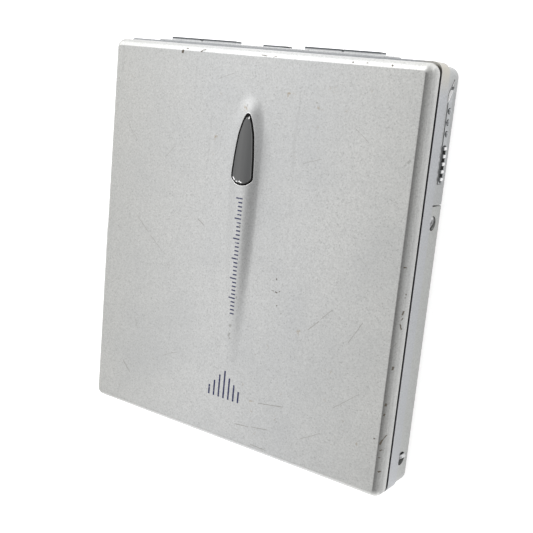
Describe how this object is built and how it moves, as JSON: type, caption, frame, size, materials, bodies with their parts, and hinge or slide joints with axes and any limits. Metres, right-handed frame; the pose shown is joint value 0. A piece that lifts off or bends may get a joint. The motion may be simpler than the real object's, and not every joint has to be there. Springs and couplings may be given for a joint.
{
  "type": "portable minidisc player",
  "caption": "Pocket disc player in a silver case with a hinged lid, a tilting cartridge holder, edge keys, an open slider and a battery door.",
  "frame": {"origin": "middle of the back face the player rests on", "axes": "+Z out of the lid, +Y towards the keys, +X towards the latch side, away from the hinge"},
  "size_m": [0.0803, 0.0879, 0.0142],
  "materials": {
    "case_silver": "satin silver paint, fine grain, worn at the edges",
    "key_silver": "satin silver painted plastic",
    "trim_grey": "silver grey painted plastic",
    "black_plastic": "moulded black, fine texture",
    "sheet_steel": "brushed",
    "bright_steel": "polished",
    "screw_steel": "plated",
    "rim_chrome": "polished",
    "smoked_window": "smoked, clear gloss",
    "damper_rubber": "matte",
    "cast_metal": "die cast",
    "lens_glass": "clear",
    "board_green": "solder mask",
    "contact_brass": "gold plated"
  },
  "bodies": {
    "case": {"rear_cover": "case_silver", "control_shell": "trim_grey", "mid_frame": "case_silver", "key_trim": "trim_grey", "key_board": "board_green", "key_switches": "black_plastic", "open_spring": "bright_steel", "hinge_pins": "bright_steel", "deck": "sheet_steel", "dampers": "damper_rubber", "spindle_motor": "sheet_steel", "guide_rods": "bright_steel", "sled_motor": "sheet_steel", "main_board": "board_green", "board_chips": "black_plastic", "battery": "sheet_steel", "battery_contacts": "contact_brass", "door_pin": "bright_steel", "headphone_socket": "black_plastic", "charge_contacts": "contact_brass", "side_screws": "screw_steel", "back_screws": "screw_steel"},
    "lid": {"lid_panel": "case_silver", "window_lens": "smoked_window", "window_rim": "rim_chrome", "lid_liner": "black_plastic", "lid_screws": "screw_steel"},
    "holder": {"disc_holder": "sheet_steel", "cartridge_springs": "sheet_steel"},
    "volume_down": {"key_volume_down": "key_silver"},
    "volume_up": {"key_volume_up": "key_silver"},
    "play": {"key_play": "key_silver"},
    "stop": {"key_stop": "key_silver"},
    "hold": {"hold_slider": "key_silver"},
    "opener": {"open_slider": "key_silver", "latch_plate": "sheet_steel"},
    "table": {"turntable": "black_plastic"},
    "screw": {"lead_screw": "bright_steel"},
    "sled": {"optical_pickup": "cast_metal", "objective_lens": "lens_glass"},
    "door": {"battery_door": "trim_grey"}
  },
  "joints": [
    {"name": "lid_hinge", "type": "hinge", "parent": "case", "child": "lid", "pos_m": [-0.0376, 0, 0.0104], "axis": [0, -1, 0], "range_deg": [0, 50]},
    {"name": "holder_tilt", "type": "hinge", "parent": "case", "child": "holder", "pos_m": [-0.0376, 0, 0.0104], "axis": [0, -1, 0], "range_deg": [0, 25]},
    {"name": "volume_down_press", "type": "slide", "parent": "case", "child": "volume_down", "axis": [0, -1, 0], "range_m": [0, 0.0005], "stiffness_N_per_m": 600, "springref_m": -0.0005},
    {"name": "volume_up_press", "type": "slide", "parent": "case", "child": "volume_up", "axis": [0, -1, 0], "range_m": [0, 0.0005], "stiffness_N_per_m": 600, "springref_m": -0.0005},
    {"name": "play_press", "type": "slide", "parent": "case", "child": "play", "axis": [0, -1, 0], "range_m": [0, 0.0005], "stiffness_N_per_m": 600, "springref_m": -0.0005},
    {"name": "stop_press", "type": "slide", "parent": "case", "child": "stop", "axis": [0, -1, 0], "range_m": [0, 0.0005], "stiffness_N_per_m": 600, "springref_m": -0.0005},
    {"name": "hold_slide", "type": "slide", "parent": "case", "child": "hold", "axis": [1, 0, 0], "range_m": [0, 0.0014]},
    {"name": "open_slide", "type": "slide", "parent": "case", "child": "opener", "axis": [0, 1, 0], "range_m": [0, 0.0012], "stiffness_N_per_m": 400, "springref_m": -0.001, "deforming": ["open_spring"]},
    {"name": "table_spin", "type": "hinge", "parent": "case", "child": "table", "pos_m": [0.0012, -0.0033, 0.006], "axis": [0, 0, 1], "continuous": true},
    {"name": "sled_slide", "type": "slide", "parent": "case", "child": "sled", "axis": [0, -1, 0], "range_m": [0, 0.016]},
    {"name": "screw_spin", "type": "hinge", "parent": "case", "child": "screw", "pos_m": [-0.017, 0, 0.0033], "axis": [0, -1, 0], "range_deg": [0, 2880]},
    {"name": "door_swing", "type": "hinge", "parent": "case", "child": "door", "pos_m": [-0.0392, 0.0376, 0.003], "axis": [0, 0, -1], "range_deg": [0, 95]}
  ],
  "couplings": [
    {"joint": "holder_tilt", "follows": "lid_hinge", "ratio": 0.5},
    {"joint": "screw_spin", "follows": "sled_slide", "rad_per_m": 3141.6}
  ]
}
